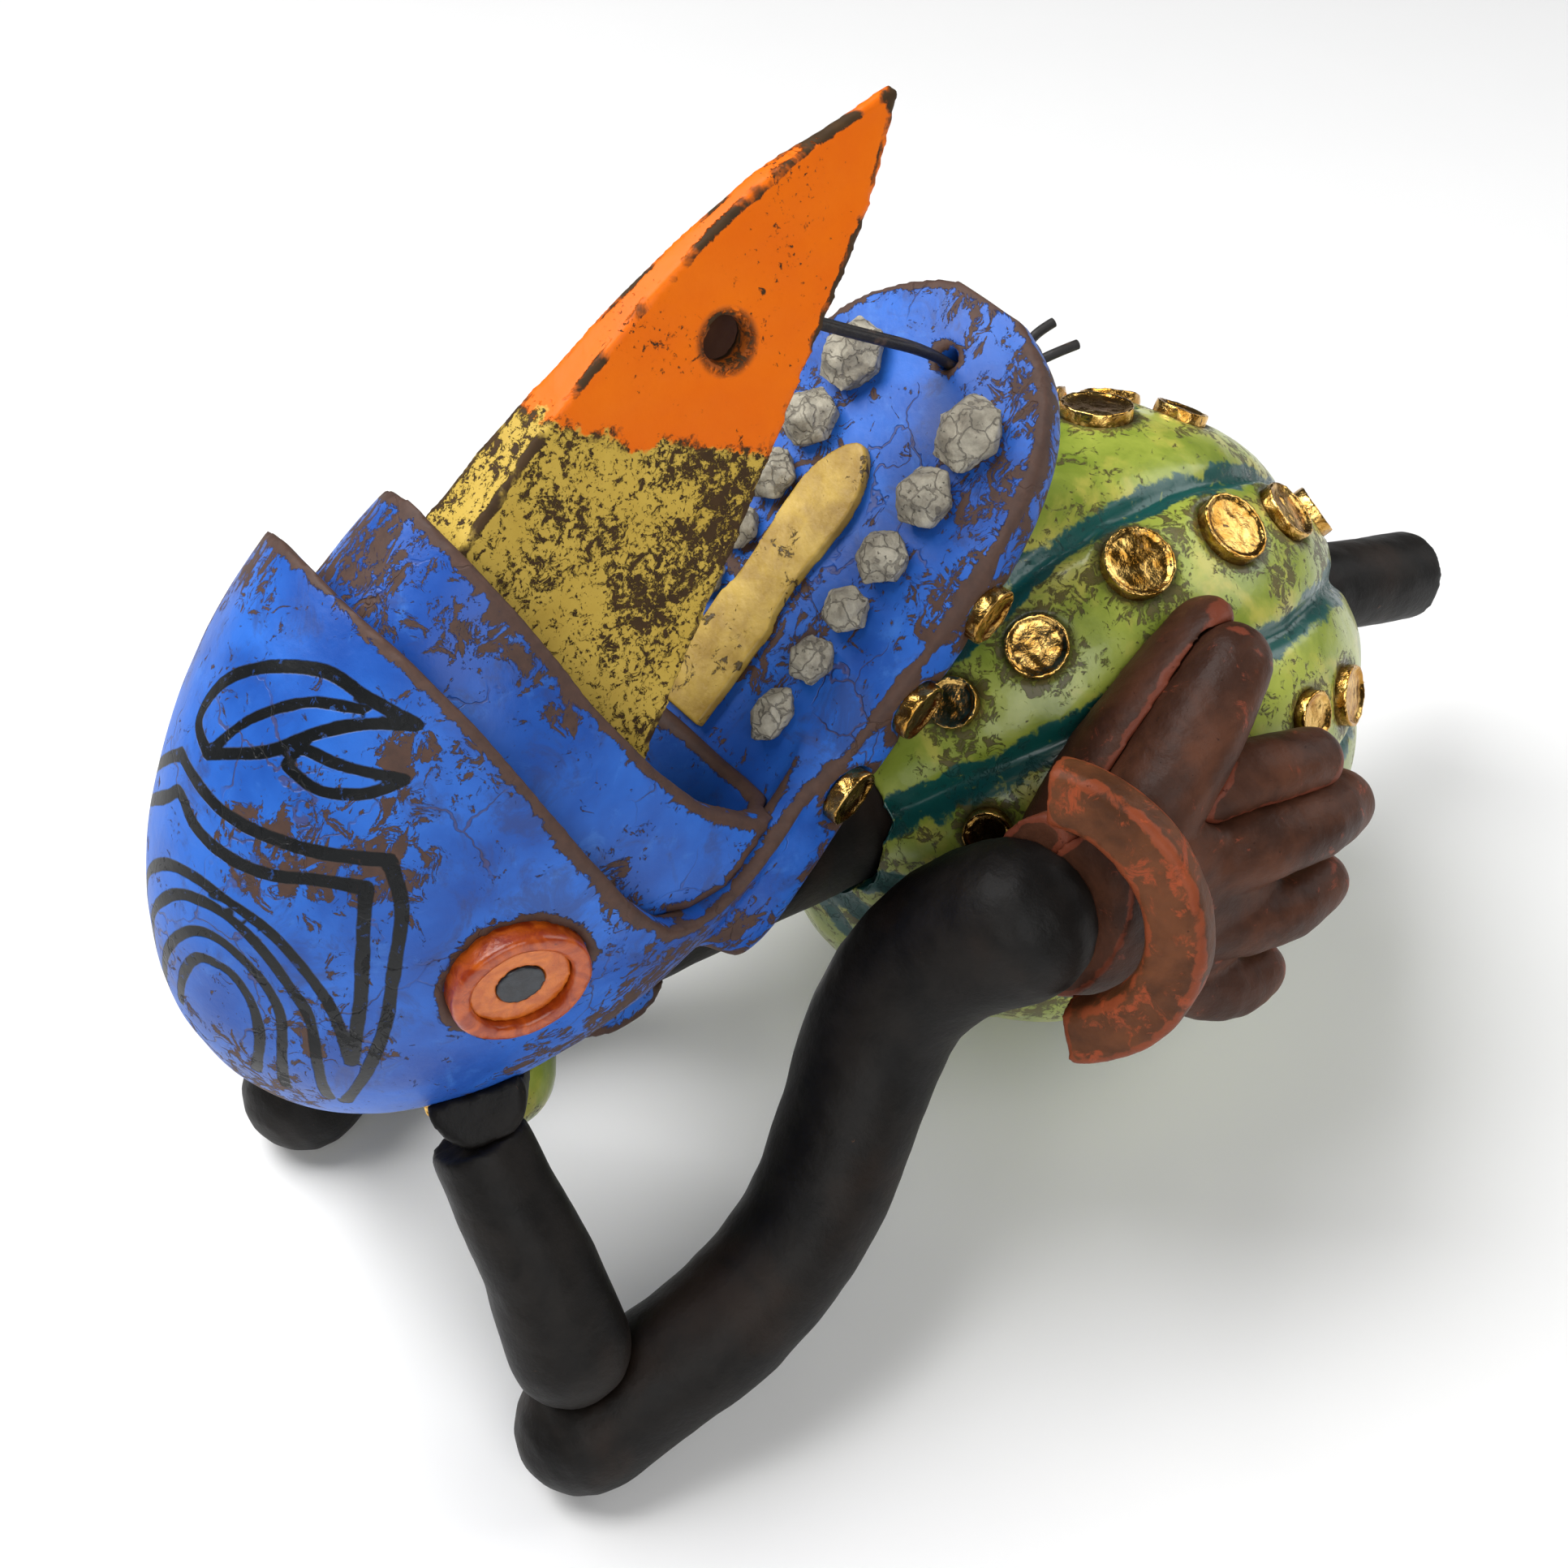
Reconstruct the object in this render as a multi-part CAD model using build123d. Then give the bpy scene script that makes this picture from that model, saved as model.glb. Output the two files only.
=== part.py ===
from build123d import *
import math
import os

# A fired-clay alebrije figure: a gourd-bodied creature on its elbows, head thrown back, beak open.
# Millimetres, +Z up. The figure faces -Y, its left side is +X, and it is symmetric about the plane X = 0
# apart from the tongue. Pieces are modelled from a datum between the two elbows, where they touch the
# ground, and moved to the frame's origin, the bottom centre of the whole figure, when they are written.

# ---- Driving dimensions ----
DATUM_Y = -133.635  # the elbow datum in the finished frame
WALL = 6.0  # thickness of the thrown clay walls

# Head frame: X across, S along the lower jaw, H square to the jaw's upper face.
JAW_ANGLE = 43.0
JAW_FACE_H = 43.0
JAW_TIP_S = 243.0
CRANIUM_CENTRE = (0, 130, 86.0)
CRANIUM_RADII = (49, 90, 63.5)
LIP_DIAMETER = 5.0
LIP_S = 229.0

# Beak hinge, in the head frame
HINGE_S = 118.0
HINGE_H = 98.0
DOWEL_RADIUS = 3.0
DOWEL_CLEARANCE = 0.08
DOWEL_LENGTH = 69.0

EYE_CENTRE = (44.6, 93.4, 95.1)
EYE_NORMAL = (0.965, -0.23, 0.09)
EYE_RADIUS = 13.2
IRIS_RADIUS = 9.6
PUPIL_RADIUS = 4.6

# Tooth: distance along the jaw, radius across, radius along, height of the stone
TEETH = (
    (219.0, 7.6, 8.6, 8.6),
    (204.0, 6.9, 6.9, 7.8),
    (190.0, 6.2, 6.3, 7.2),
    (177.6, 5.6, 5.3, 6.6),
    (165.6, 5.4, 5.6, 6.4),
    (152.4, 4.6, 6.6, 6.0),
)
TEETH_X = 17.8

GOURD_CENTRE = (0, 178, 74.4)
GOURD_RADII = (67, 75.7, 75.7)

DISC_THICKNESS = 2.2
TAIL_RADIUS = 11.5
NECK_RADIUS = 20.0
UPPER_ARM_RADIUS = 12.6
ELBOW_RADIUS = 14.5
WRIST_RADIUS = 17.5

CUFF_CENTRE = (68.0, 112.0, 103.0)
CUFF_AXIS = (-0.389, 0.894, -0.225)
CUFF_INNER = 20.5
CUFF_OUTER = 33.5
CUFF_DEPTH = 9.0
CUFF_START = 77.0
CUFF_SWEEP = 168.0

STRAND_DIAMETER = 2.0
STRAND_X = 1.25

HEAD = Plane(
    origin=(0, 0, 0),
    x_dir=(1, 0, 0),
    z_dir=(0, -math.sin(math.radians(JAW_ANGLE)), math.cos(math.radians(JAW_ANGLE))),
)
TO_FRAME = Location((0, DATUM_Y, 0))


# ---- Helpers ----
def head(shape):
    """Take a shape from the head frame to the figure."""
    return HEAD.location * shape


def mirrored(shape):
    """The other side's copy."""
    return mirror(shape, about=Plane.YZ)


def ellipsoid(centre, radii):
    return Pos(*centre) * scale(Sphere(1), by=tuple(radii))


def side_profile(points, reach=120):
    """A prism across the head, from an outline of (s, h) points."""
    outline = Plane.YZ * make_face(Polyline(*points, close=True))
    return extrude(outline, reach, both=True)


def cross_section(s, outline):
    """A face square to the jaw at s, from a closed wire of (x, h) curves."""
    return Plane(origin=(0, s, 0), x_dir=(1, 0, 0), z_dir=(0, -1, 0)) * outline


def between(a, b, c, d, t):
    """A point of the smooth (Catmull-Rom) curve from b to c."""
    return (b * 2 + (c - a) * t + (a * 2 - b * 5 + c * 4 - d) * t**2 + (b * 3 - a - c * 3 + d) * t**3) * 0.5


def limb(points, radii, up=(0, 0, 1), flatten=1.0, round_start=True, round_end=True, steps=2):
    """A tapering, bending round bar with domed ends, from its centre points and radii."""
    centres = [Vector(*p) for p in points]
    centres = [centres[0] * 2 - centres[1]] + centres + [centres[-1] * 2 - centres[-2]]
    sizes = [radii[0]] + list(radii) + [radii[-1]]
    line = []
    for i in range(1, len(centres) - 2):
        for step in range(steps):
            t = step / steps
            centre = between(*centres[i - 1 : i + 3], t)
            line.append((centre, between(*sizes[i - 1 : i + 3], t)))
    line.append((centres[-2], sizes[-2]))
    last = len(line) - 1
    stations = []
    for i, (centre, radius) in enumerate(line):
        way = (line[min(i + 1, last)][0] - line[max(i - 1, 0)][0]).normalized()
        stations.append((centre, way, radius))
    dome = [math.radians(a) for a in (80, 60, 38, 18)]
    if round_start:
        centre, way, radius = stations[0]
        cap = [(centre - way * (radius * math.sin(a)), way, radius * math.cos(a)) for a in dome]
        stations = cap + stations
    if round_end:
        centre, way, radius = stations[-1]
        cap = [(centre + way * (radius * math.sin(a)), way, radius * math.cos(a)) for a in dome]
        stations = stations + cap[::-1]
    faces = []
    for centre, way, radius in stations:
        across = Vector(*up).cross(way).normalized()
        plane = Plane(origin=centre, x_dir=across, z_dir=way)
        ring = Circle(radius) if flatten == 1.0 else Ellipse(radius * flatten, radius)
        faces.append(plane * ring)
    return loft(faces, ruled=True)


def straight_bar(start, end, radius):
    """A round bar with flat ends."""
    way = Vector(*end) - Vector(*start)
    return extrude(Plane(origin=start, z_dir=way) * Circle(radius), way.length)


def on_ground(shape):
    """Worn flat where it stands."""
    return shape - Pos(0, 0, -50) * Box(600, 800, 100)


def main_piece(shape):
    """The largest solid that a cut leaves."""
    return max(shape.solids(), key=lambda solid: solid.volume)


def medallion(centre, normal, radius):
    """An applied clay disc with a raised rim, its back sunk a little into the clay below."""
    plane = Plane(origin=Vector(*centre), z_dir=Vector(*normal))
    rim = radius - 1.3
    profile = [(0, -1.8), (radius, -1.8), (radius, DISC_THICKNESS), (rim, DISC_THICKNESS), (rim, 1.4), (0, 1.4)]
    half = Plane(origin=plane.origin, x_dir=plane.x_dir, z_dir=-plane.y_dir)
    face = half * make_face(Polyline(*profile, close=True))
    return revolve(face, Axis(plane.origin, plane.z_dir))


# ---- Body ----
def gourd_point(y_share, angle):
    """A point and outward normal on the gourd's smooth shell, angle in degrees from the top."""
    (cx, cy, cz), (rx, ry, rz) = GOURD_CENTRE, GOURD_RADII
    ring = math.sqrt(1 - y_share**2)
    turn = math.radians(angle)
    point = Vector(cx + rx * ring * math.sin(turn), cy + ry * y_share, cz + rz * ring * math.cos(turn))
    normal = Vector((point.X - cx) / rx**2, (point.Y - cy) / ry**2, (point.Z - cz) / rz**2)
    return point, normal.normalized()


def make_neck_tube():
    """The black tube that comes out of the gourd and runs forward under the head."""
    return straight_bar((0, 124, 85), (0, 52, 90), NECK_RADIUS)


def make_tail():
    return straight_bar((0, 246, 76), (0, 306, 56), TAIL_RADIUS)


def gourd_solid(wall=0):
    """The gourd's smooth shape, or that of the hollow inside its wall."""
    half_width, radius = GOURD_RADII[0] - wall, GOURD_RADII[1] - wall
    turns = [math.radians(15 * i) for i in range(13)]
    outline = Spline(
        *[(half_width * math.cos(a), radius * math.sin(a)) for a in turns],
        tangents=[(0, 1), (0, -1)],
    )
    half = make_face([outline, Line((-half_width, 0), (half_width, 0))])
    return Pos(*GOURD_CENTRE) * revolve(half, Axis.X)


def make_body_shell():
    shell = gourd_solid() - gourd_solid(WALL)
    return on_ground(shell - make_neck_tube() - make_tail())


# Medallions on the gourd: share of the half length, degrees from the top, radius
BODY_DISCS = (
    (0.20, -9, 8.5),
    (0.50, -6, 6.5),
    (-0.14, 27, 8.2),
    (0.21, 29, 8.4),
    (0.50, 29, 7.4),
    (0.76, 27, 6.4),
    (-0.49, 30, 7.0),
    (-0.71, 29, 5.8),
    (-0.75, 62, 5.6),
    (0.24, 66, 6.0),
    (0.47, 69, 7.2),
)


def make_body_discs():
    discs = []
    for share, angle, radius in BODY_DISCS:
        point, normal = gourd_point(share, angle)
        disc = medallion(point, normal, radius)
        discs.append(disc)
        if abs(angle) > 15:
            discs.append(mirrored(disc))
    return discs


CHEST_CENTRE = (0, 17, 64)
CHEST_RADII = (17, 15.5, 15.5)


def make_chest_bead():
    return ellipsoid(CHEST_CENTRE, CHEST_RADII)


def make_chest_discs():
    discs = []
    for side in (-1, 1):
        normal = Vector(side * 0.5, -0.8, 0.2).normalized()
        out = [n * r for n, r in zip(normal, CHEST_RADII)]
        discs.append(medallion(Vector(*CHEST_CENTRE) + Vector(*out), normal, 5.4))
    return discs


# ---- Limbs, left side ----
ARM_TOP = (30.2, -1.3, 81)
ARM_BELOW = (37.2, -0.8, 70)
ARM_END = (54.5, 0.5, 38)


def make_upper_arm():
    centres = [ARM_TOP, ARM_BELOW, (46.4, 0.4, 55), ARM_END]
    return limb(centres, [9.8, 10.4, 11.4, UPPER_ARM_RADIUS], up=(0, 1, 0), round_start=False)


def make_shoulder():
    """The short stub from the chest, cut flat where it stands on the top of the upper arm."""
    stub = straight_bar((6, 15, 67), (31, -1, 92), 9.5)
    arm_side = Plane(origin=ARM_TOP, z_dir=Vector(*ARM_BELOW) - Vector(*ARM_TOP))
    return stub - extrude(arm_side * Rectangle(80, 80), 40)


WRIST = Plane(origin=Vector(*CUFF_CENTRE) + Vector(*CUFF_AXIS) * (CUFF_DEPTH / 2), z_dir=Vector(*CUFF_AXIS))


def make_forearm():
    """From the elbow on the ground, up and back to the wrist, where it ends flat on the hand."""
    centres = [
        (57.5, 0.5, 13.9),
        (60.5, 15, 20),
        (63, 34.5, 28),
        (61, 54, 38),
        (54.5, 70, 50),
        (48.5, 82, 62),
        (46.5, 92, 75),
        (52, 101, 88),
        (62, 108, 98),
    ]
    radii = [ELBOW_RADIUS, 14.0, 14.0, 14.2, 14.6, 15.2, 16.0, 16.9, WRIST_RADIUS]
    bar = limb(centres, radii, up=(1, 0, 0))
    return on_ground(bar) - extrude(WRIST * Circle(22), 30)


def make_cuff():
    """A thick, flat, C-shaped collar round the end of the forearm, open towards the body."""
    axis = Vector(*CUFF_AXIS)
    seat = Plane(origin=Vector(*CUFF_CENTRE), x_dir=Vector(-0.92, -0.38, 0.08), z_dir=axis)
    width = CUFF_OUTER - CUFF_INNER
    middle = (CUFF_OUTER + CUFF_INNER) / 2
    bar = Plane(origin=seat.origin + seat.x_dir * middle, x_dir=seat.x_dir, z_dir=seat.y_dir)
    section = bar * RectangleRounded(width, CUFF_DEPTH, 2.5)
    ring = revolve(section, Axis(seat.origin, axis), CUFF_SWEEP)
    return ring.rotate(Axis(seat.origin, axis), CUFF_START)


FINGERS = (
    ([(73, 144, 98), (78, 161, 101), (79.5, 176, 99), (77, 188, 96)], [9.0, 8.8, 8.4, 7.6]),
    ([(75, 144, 85), (80, 158, 82), (81.5, 170, 80), (80, 181, 79)], [8.4, 8.0, 7.6, 7.0]),
    ([(74, 140, 73), (78, 150, 65), (79.5, 159, 61), (78.5, 166.5, 60)], [7.8, 7.6, 7.4, 7.0]),
)


def make_hand():
    """The outer hand: thumb, palm and three fingers, flat against the cuff."""
    thumb = limb(
        [(67, 130, 104), (65.5, 142, 116), (63, 154, 126), (59.5, 165, 133)],
        [12.0, 12.2, 11.4, 10.2],
        up=(1, 0, 0.6),
        flatten=0.85,
    )
    palm = limb([(69, 113, 101), (73, 133, 95), (75.5, 148, 86)], [20, 22, 20], flatten=0.42)
    hand = palm + thumb
    for centres, radii in FINGERS:
        hand += limb(centres, radii)
    return split(hand, bisect_by=WRIST, keep=Keep.TOP)


def make_palm_pad():
    """The inner layer of the hand, on the gourd's side: a flatter thumb, a thin palm and the hindmost finger."""
    thumb = limb(
        [(52, 127, 104), (50.5, 140, 117), (49.5, 155, 128), (48.5, 167, 135)],
        [9.5, 10.0, 9.8, 9.0],
        up=(1, 0, 0.75),
        flatten=0.6,
    )
    palm = limb([(58, 113, 103), (62, 130, 103), (66, 144, 103)], [16, 16, 13], flatten=0.42)
    finger = limb([(62, 140, 108), (68, 156, 112), (72, 170, 111.5), (72.5, 181, 109)], [8.5, 8.2, 7.8, 7.0])
    return split(palm + thumb + finger, bisect_by=WRIST, keep=Keep.TOP)


# ---- Head ----
def jaw_section(s, half_width, under):
    top = 62.0
    middle = (top + under) / 2
    return cross_section(s, Pos(0, middle) * RectangleRounded(2 * half_width, top - under, 8.5))


def make_head_shell():
    cranium = ellipsoid(CRANIUM_CENTRE, CRANIUM_RADII)
    stations = (
        (108, 34.0, 24.0),
        (135, 36.5, 24.0),
        (157, 37.0, 26.0),
        (178, 38.0, 28.0),
        (200, 37.6, 29.0),
        (218, 34.5, 30.0),
        (230, 28.5, 31.0),
        (238.5, 19.0, 32.0),
        (JAW_TIP_S, 9.5, 33.0),
    )
    jaw = loft([jaw_section(*station) for station in stations])
    mouth = side_profile(
        [
            (137.5, 175),
            (137, 157),
            (129.5, 128),
            (121, 105),
            (115, 85),
            (112.5, 68),
            (115.5, 59),
            (122, 53),
            (138, 47.5),
            (155, JAW_FACE_H),
            (260, JAW_FACE_H),
            (260, 175),
        ]
    )
    inner_radii = [r - WALL - 0.5 for r in CRANIUM_RADII]
    floor = side_profile([(30, JAW_FACE_H), (260, JAW_FACE_H), (260, 175), (30, 175)])
    hollow = ellipsoid(CRANIUM_CENTRE, inner_radii) & floor
    tie_hole = Pos(0, LIP_S, JAW_FACE_H) * Cylinder(LIP_DIAMETER / 2, 60)
    shell = cranium + jaw - mouth - hollow - tie_hole
    shell = head(shell)
    shell += Pos(0, 43, 82) * Cylinder(18, 20)
    return shell


def tombstone(s, half_width, foot, height):
    """A closed arch outline standing on the jaw."""
    w = half_width
    right = [
        (w - 8, foot),
        (w - 1.5, foot + 3),
        (w, foot + 13),
        (w * 0.985, foot + 0.42 * height),
        (w * 0.84, foot + 0.70 * height),
        (w * 0.52, foot + 0.91 * height),
        (0, foot + height),
    ]
    left = [(-x, h) for x, h in right[::-1]]
    wire = Wire([Line(left[-1], right[0]), Spline(*right), Spline(*left)])
    return cross_section(s, make_face(wire))


def make_palate_collar():
    """The inner lip of the mouth: a closed arch that stands on the jaw and holds the beak's hinge."""
    foot = JAW_FACE_H
    outer = loft(
        [
            tombstone(100, 36.0, foot, 90),
            tombstone(118, 39.6, foot, 95),
            tombstone(136, 36.0, foot, 96),
            tombstone(158, 31.0, foot, 95),
        ]
    )
    inner = loft(
        [
            tombstone(98, 31.5, foot + 4.0, 81),
            tombstone(118, 34.8, foot + 4.0, 86),
            tombstone(136, 31.2, foot + 4.0, 87),
            tombstone(160, 26.0, foot + 4.0, 86),
        ]
    )
    rim = [(154, 175), (153.5, 141), (148, 124), (141, 104), (136, 84), (134, 68), (136, 53), (140, 43)]
    beyond_rim = side_profile(rim + [(190, 43), (190, 175)])
    collar = outer - inner - beyond_rim
    sockets = Pos(0, HINGE_S, HINGE_H) * Rotation(0, 90, 0) * Cylinder(DOWEL_RADIUS, DOWEL_LENGTH)
    return head(collar - sockets)


def make_hinge_dowel():
    rod = Pos(0, HINGE_S, HINGE_H) * Rotation(0, 90, 0) * Cylinder(DOWEL_RADIUS, DOWEL_LENGTH)
    return head(rod)


def beak_section(s, crest, crest_h, edge, edge_h):
    corners = [(-crest, crest_h), (crest, crest_h), (edge, edge_h), (-edge, edge_h)]
    return cross_section(s, make_face(Polyline(*corners, close=True)))


def make_beak():
    """The upper bill: a flat crest, flat sides, open underneath, with two nostrils and a tie bar."""
    outer = [
        (111, 8.6, 129.0, 22.4, 66.0),
        (134, 7.4, 129.6, 20.2, 71.8),
        (157, 6.0, 128.4, 17.8, 77.2),
        (185, 4.2, 125.8, 14.8, 82.8),
        (211, 2.9, 121.0, 11.4, 88.2),
        (234, 2.0, 113.6, 7.2, 91.6),
        (250, 1.3, 105.4, 3.4, 95.0),
        (259.5, 0.8, 100.6, 1.2, 98.6),
    ]
    envelope = loft([beak_section(*row) for row in outer])
    inner = [
        (116, 4.4, 124.0, 19.6, 50.0),
        (134, 3.6, 124.8, 17.6, 50.0),
        (157, 2.6, 123.8, 15.2, 55.0),
        (185, 1.6, 121.2, 12.0, 62.0),
        (211, 1.0, 116.0, 8.6, 70.0),
        (232, 0.8, 109.0, 4.6, 76.0),
    ]
    nostrils = Pos(0, 206, 105) * Rotation(0, 90, 0) * Cylinder(4.3, 60)
    shell = envelope - loft([beak_section(*row) for row in inner]) - nostrils
    tie_bar = Pos(0, 213, 104) * Rotation(0, 90, 0) * Cylinder(2.6, 16)
    shell += tie_bar & envelope
    bore = Pos(0, HINGE_S, HINGE_H) * Rotation(0, 90, 0) * Cylinder(DOWEL_RADIUS + DOWEL_CLEARANCE, 60)
    return head(shell - bore)


def make_tongue():
    """A thin clay tongue laid on the jaw, a little to the right of the middle."""
    centre_x = -3.4
    outline = Plane.XY * make_face(
        Wire(
            [
                Line((centre_x + 7.2, 141.0), (centre_x + 8.0, 165)),
                Spline(
                    (centre_x + 8.0, 165),
                    (centre_x + 7.5, 190),
                    (centre_x + 4.8, 201.5),
                    (centre_x, 205.5),
                    (centre_x - 4.9, 201.5),
                    (centre_x - 7.9, 188),
                    (centre_x - 8.0, 165),
                ),
                Line((centre_x - 8.0, 165), (centre_x - 7.2, 141.0)),
                Line((centre_x - 7.2, 141.0), (centre_x + 7.2, 141.0)),
            ]
        )
    )
    return head(Pos(0, 0, JAW_FACE_H) * extrude(outline, 2.4))


def make_tooth(s, half_across, half_along, height, turn):
    """A faceted stone bedded on the jaw, as six-sided rings of three sizes."""

    def ring(h, share):
        hexagon = RegularPolygon(1, 6, rotation=turn)
        return Pos(TEETH_X, s, JAW_FACE_H + h) * scale(hexagon, by=(half_across * share, half_along * share, 1))

    return head(loft([ring(0, 0.78), ring(height * 0.45, 1.0), ring(height, 0.42)], ruled=True))


def eye_plane():
    return Plane(origin=Vector(*EYE_CENTRE), z_dir=Vector(*EYE_NORMAL))


def eye_disc(radius, low, high):
    plane = eye_plane()
    base = Plane(origin=plane.origin + plane.z_dir * low, x_dir=plane.x_dir, z_dir=plane.z_dir)
    return extrude(base * Circle(radius), high - low)


def make_eye_ring():
    ring = eye_disc(EYE_RADIUS, -4, 2.4) - eye_disc(IRIS_RADIUS, -4, 2.4)
    outer_edges = ring.edges().filter_by(GeomType.CIRCLE).sort_by(Axis(EYE_CENTRE, EYE_NORMAL))[-2:]
    return head(fillet(outer_edges, 1.2))


def make_eye_iris():
    return head(eye_disc(IRIS_RADIUS, -4, 0.6) - eye_disc(PUPIL_RADIUS, -1, 0.6))


def make_eye_pupil():
    return head(eye_disc(PUPIL_RADIUS, -1, 0.9))


# Medallions on the jaw's side: distance along the jaw, height, half width of the jaw there
JAW_DISCS = ((193.0, 33.5, 37.2), (170.0, 33.0, 36.6), (148.5, 34.0, 35.8))


def make_jaw_discs():
    discs = []
    for s, h, x in JAW_DISCS:
        discs.append(head(medallion((x, s, h), (0.95, 0, -0.31), 6.4)))
    return discs


# ---- Tie cord ----
# Each strand runs from the bar inside the beak through the hole in the jaw to the knot behind it.
STRAND_ROUTE = ((213, 101.0), (217.5, 85), (222.5, 67), (227.8, 49), (229.0, 33), (233.5, 24.5))
STRAND_BENDS = (60.0, 60.0, 30.0, 12.0)


def make_strand(side):
    corners = [head(Pos(side * STRAND_X, s, h)).position for s, h in STRAND_ROUTE]
    path = FilletPolyline(*corners, radius=list(STRAND_BENDS))
    start = Plane(origin=path @ 0, z_dir=path % 0)
    return sweep(start * Circle(STRAND_DIAMETER / 2), path=path)


def make_cord_knot():
    """A tight ball knot with two loose ends, against the underside of the jaw's tip."""
    ball = head(ellipsoid((0, 237.5, 21.0), (5.0, 4.6, 4.4)))
    left_end = limb([(1.4, 239, 20), (3.6, 243, 19.5), (4.6, 247, 16.5)], [1.4, 1.4, 1.3], up=(1, 0, 0))
    right_end = limb([(-1.4, 239, 20), (-2.6, 244, 21), (-2, 248, 18.5)], [1.4, 1.4, 1.3], up=(1, 0, 0))
    return ball + head(left_end + right_end)


# ---- Assembly ----
def build():
    """Every piece by name. Pieces bedded in others are cut out of them, so that they meet face to face."""
    parts = {}
    body_discs = make_body_discs()
    chest_discs = make_chest_discs()
    neck = make_neck_tube()
    chest = make_chest_bead() - neck
    head_shell = make_head_shell() - neck - chest
    shoulder = main_piece(make_shoulder() - chest - chest_discs - neck - head_shell)
    upper_arm = make_upper_arm()
    socket = Pos(*ARM_END) * Sphere(UPPER_ARM_RADIUS + 0.5)
    forearm = make_forearm() - socket - upper_arm
    gourd = make_body_shell()
    cuff = main_piece(make_cuff() - gourd_solid() - forearm)
    hand = make_hand()
    palm_pad = main_piece(make_palm_pad() - hand - gourd_solid())

    eye_parts = [make_eye_ring(), make_eye_iris(), make_eye_pupil()]
    jaw_discs = make_jaw_discs()
    teeth = [make_tooth(*row, turn=17 * i) for i, row in enumerate(TEETH)]
    bedded = eye_parts + jaw_discs
    head_shell = head_shell - bedded - [mirrored(piece) for piece in bedded]
    gourd = gourd - body_discs
    chest = chest - chest_discs
    collar = main_piece(make_palate_collar() - head_shell)
    tongue = make_tongue()

    parts["body_shell"] = gourd
    parts["body_discs"] = Compound(body_discs)
    parts["neck_tube"] = neck
    parts["tail"] = make_tail()
    parts["chest_bead"] = chest
    parts["chest_discs"] = Compound(chest_discs)
    parts["head_shell"] = head_shell
    parts["palate_collar"] = collar
    parts["hinge_dowel"] = make_hinge_dowel()
    parts["beak"] = make_beak()
    parts["tongue"] = tongue
    parts["cord_knot"] = make_cord_knot()
    parts["tie_strand_left"] = make_strand(1)
    parts["tie_strand_right"] = make_strand(-1)
    sided = {
        "shoulder": shoulder,
        "upper_arm": upper_arm,
        "forearm": forearm,
        "cuff": cuff,
        "hand": hand,
        "palm_pad": palm_pad,
        "eye_ring": eye_parts[0],
        "eye_iris": eye_parts[1],
        "eye_pupil": eye_parts[2],
        "jaw_discs": Compound(jaw_discs),
    }
    for i, tooth in enumerate(teeth):
        sided[f"tooth_{i + 1}"] = tooth
    for name, shape in sided.items():
        parts[f"{name}_left"] = shape
        parts[f"{name}_right"] = mirrored(shape)
    return {name: TO_FRAME * shape for name, shape in parts.items()}


os.makedirs("parts", exist_ok=True)
PARTS = build()
for node, shape in PARTS.items():
    export_step(shape, f"parts/{node}.step")
print("tie strand bend radii, mm:", *STRAND_BENDS)
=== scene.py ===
import math

import bpy
import numpy as np
from mathutils import Matrix, Vector, kdtree, noise


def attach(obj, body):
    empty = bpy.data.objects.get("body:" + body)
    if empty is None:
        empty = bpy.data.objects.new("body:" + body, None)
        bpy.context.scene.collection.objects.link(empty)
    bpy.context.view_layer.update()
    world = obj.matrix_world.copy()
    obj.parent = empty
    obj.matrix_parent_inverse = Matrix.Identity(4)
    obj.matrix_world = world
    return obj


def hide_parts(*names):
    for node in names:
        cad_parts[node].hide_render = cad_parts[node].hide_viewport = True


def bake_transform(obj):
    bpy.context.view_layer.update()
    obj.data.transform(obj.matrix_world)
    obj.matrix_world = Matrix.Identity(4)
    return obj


# The looks of a painted clay alebrije figure. Metres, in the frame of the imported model: +Z up, the figure
# faces -Y and its left side is +X.

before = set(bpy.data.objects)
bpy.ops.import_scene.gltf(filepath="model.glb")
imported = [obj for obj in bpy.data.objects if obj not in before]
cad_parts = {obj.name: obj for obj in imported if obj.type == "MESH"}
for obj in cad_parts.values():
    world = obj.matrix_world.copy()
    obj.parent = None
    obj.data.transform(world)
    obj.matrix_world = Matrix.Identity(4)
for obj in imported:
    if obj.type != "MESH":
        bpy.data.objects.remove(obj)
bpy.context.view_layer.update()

MM = 0.001
DATUM_Y = -133.635  # the elbow datum in the frame, mm
JAW_ANGLE = math.radians(43)
CRANIUM_CENTRE = np.array([0.0, 130.0, 86.0])
CRANIUM_RADII = np.array([49.0, 90.0, 63.5])
GOURD_CENTRE = np.array([0.0, 178.0 + DATUM_Y, 74.4])
GOURD_RADII = np.array([67.0, 75.7, 75.7])
SEAMS = (16, 49, 82, 115, 148)  # degrees from the top, both sides
LACE_RADIUS = 1.05  # of the knot's lace, mm
LIGHT_AIM = (0, 0, 0.08)
CAMERA_PLACE = (0.3096, -0.2772, 0.450)
CAMERA_AHEAD = (-0.5864, 0.4565, -0.6691)
CAMERA_LENS = 56.4
CAMERA_SENSOR = 36


# ---- Meshes ----
def from_head(points):
    """Points (x, s, h) of the head's own frame, in mm, as points of the figure, in mm."""
    x, s, h = np.atleast_2d(np.array(points, float)).T
    y = math.cos(JAW_ANGLE) * s - math.sin(JAW_ANGLE) * h + DATUM_Y
    z = math.sin(JAW_ANGLE) * s + math.cos(JAW_ANGLE) * h
    return np.stack([x, y, z], 1)


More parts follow.
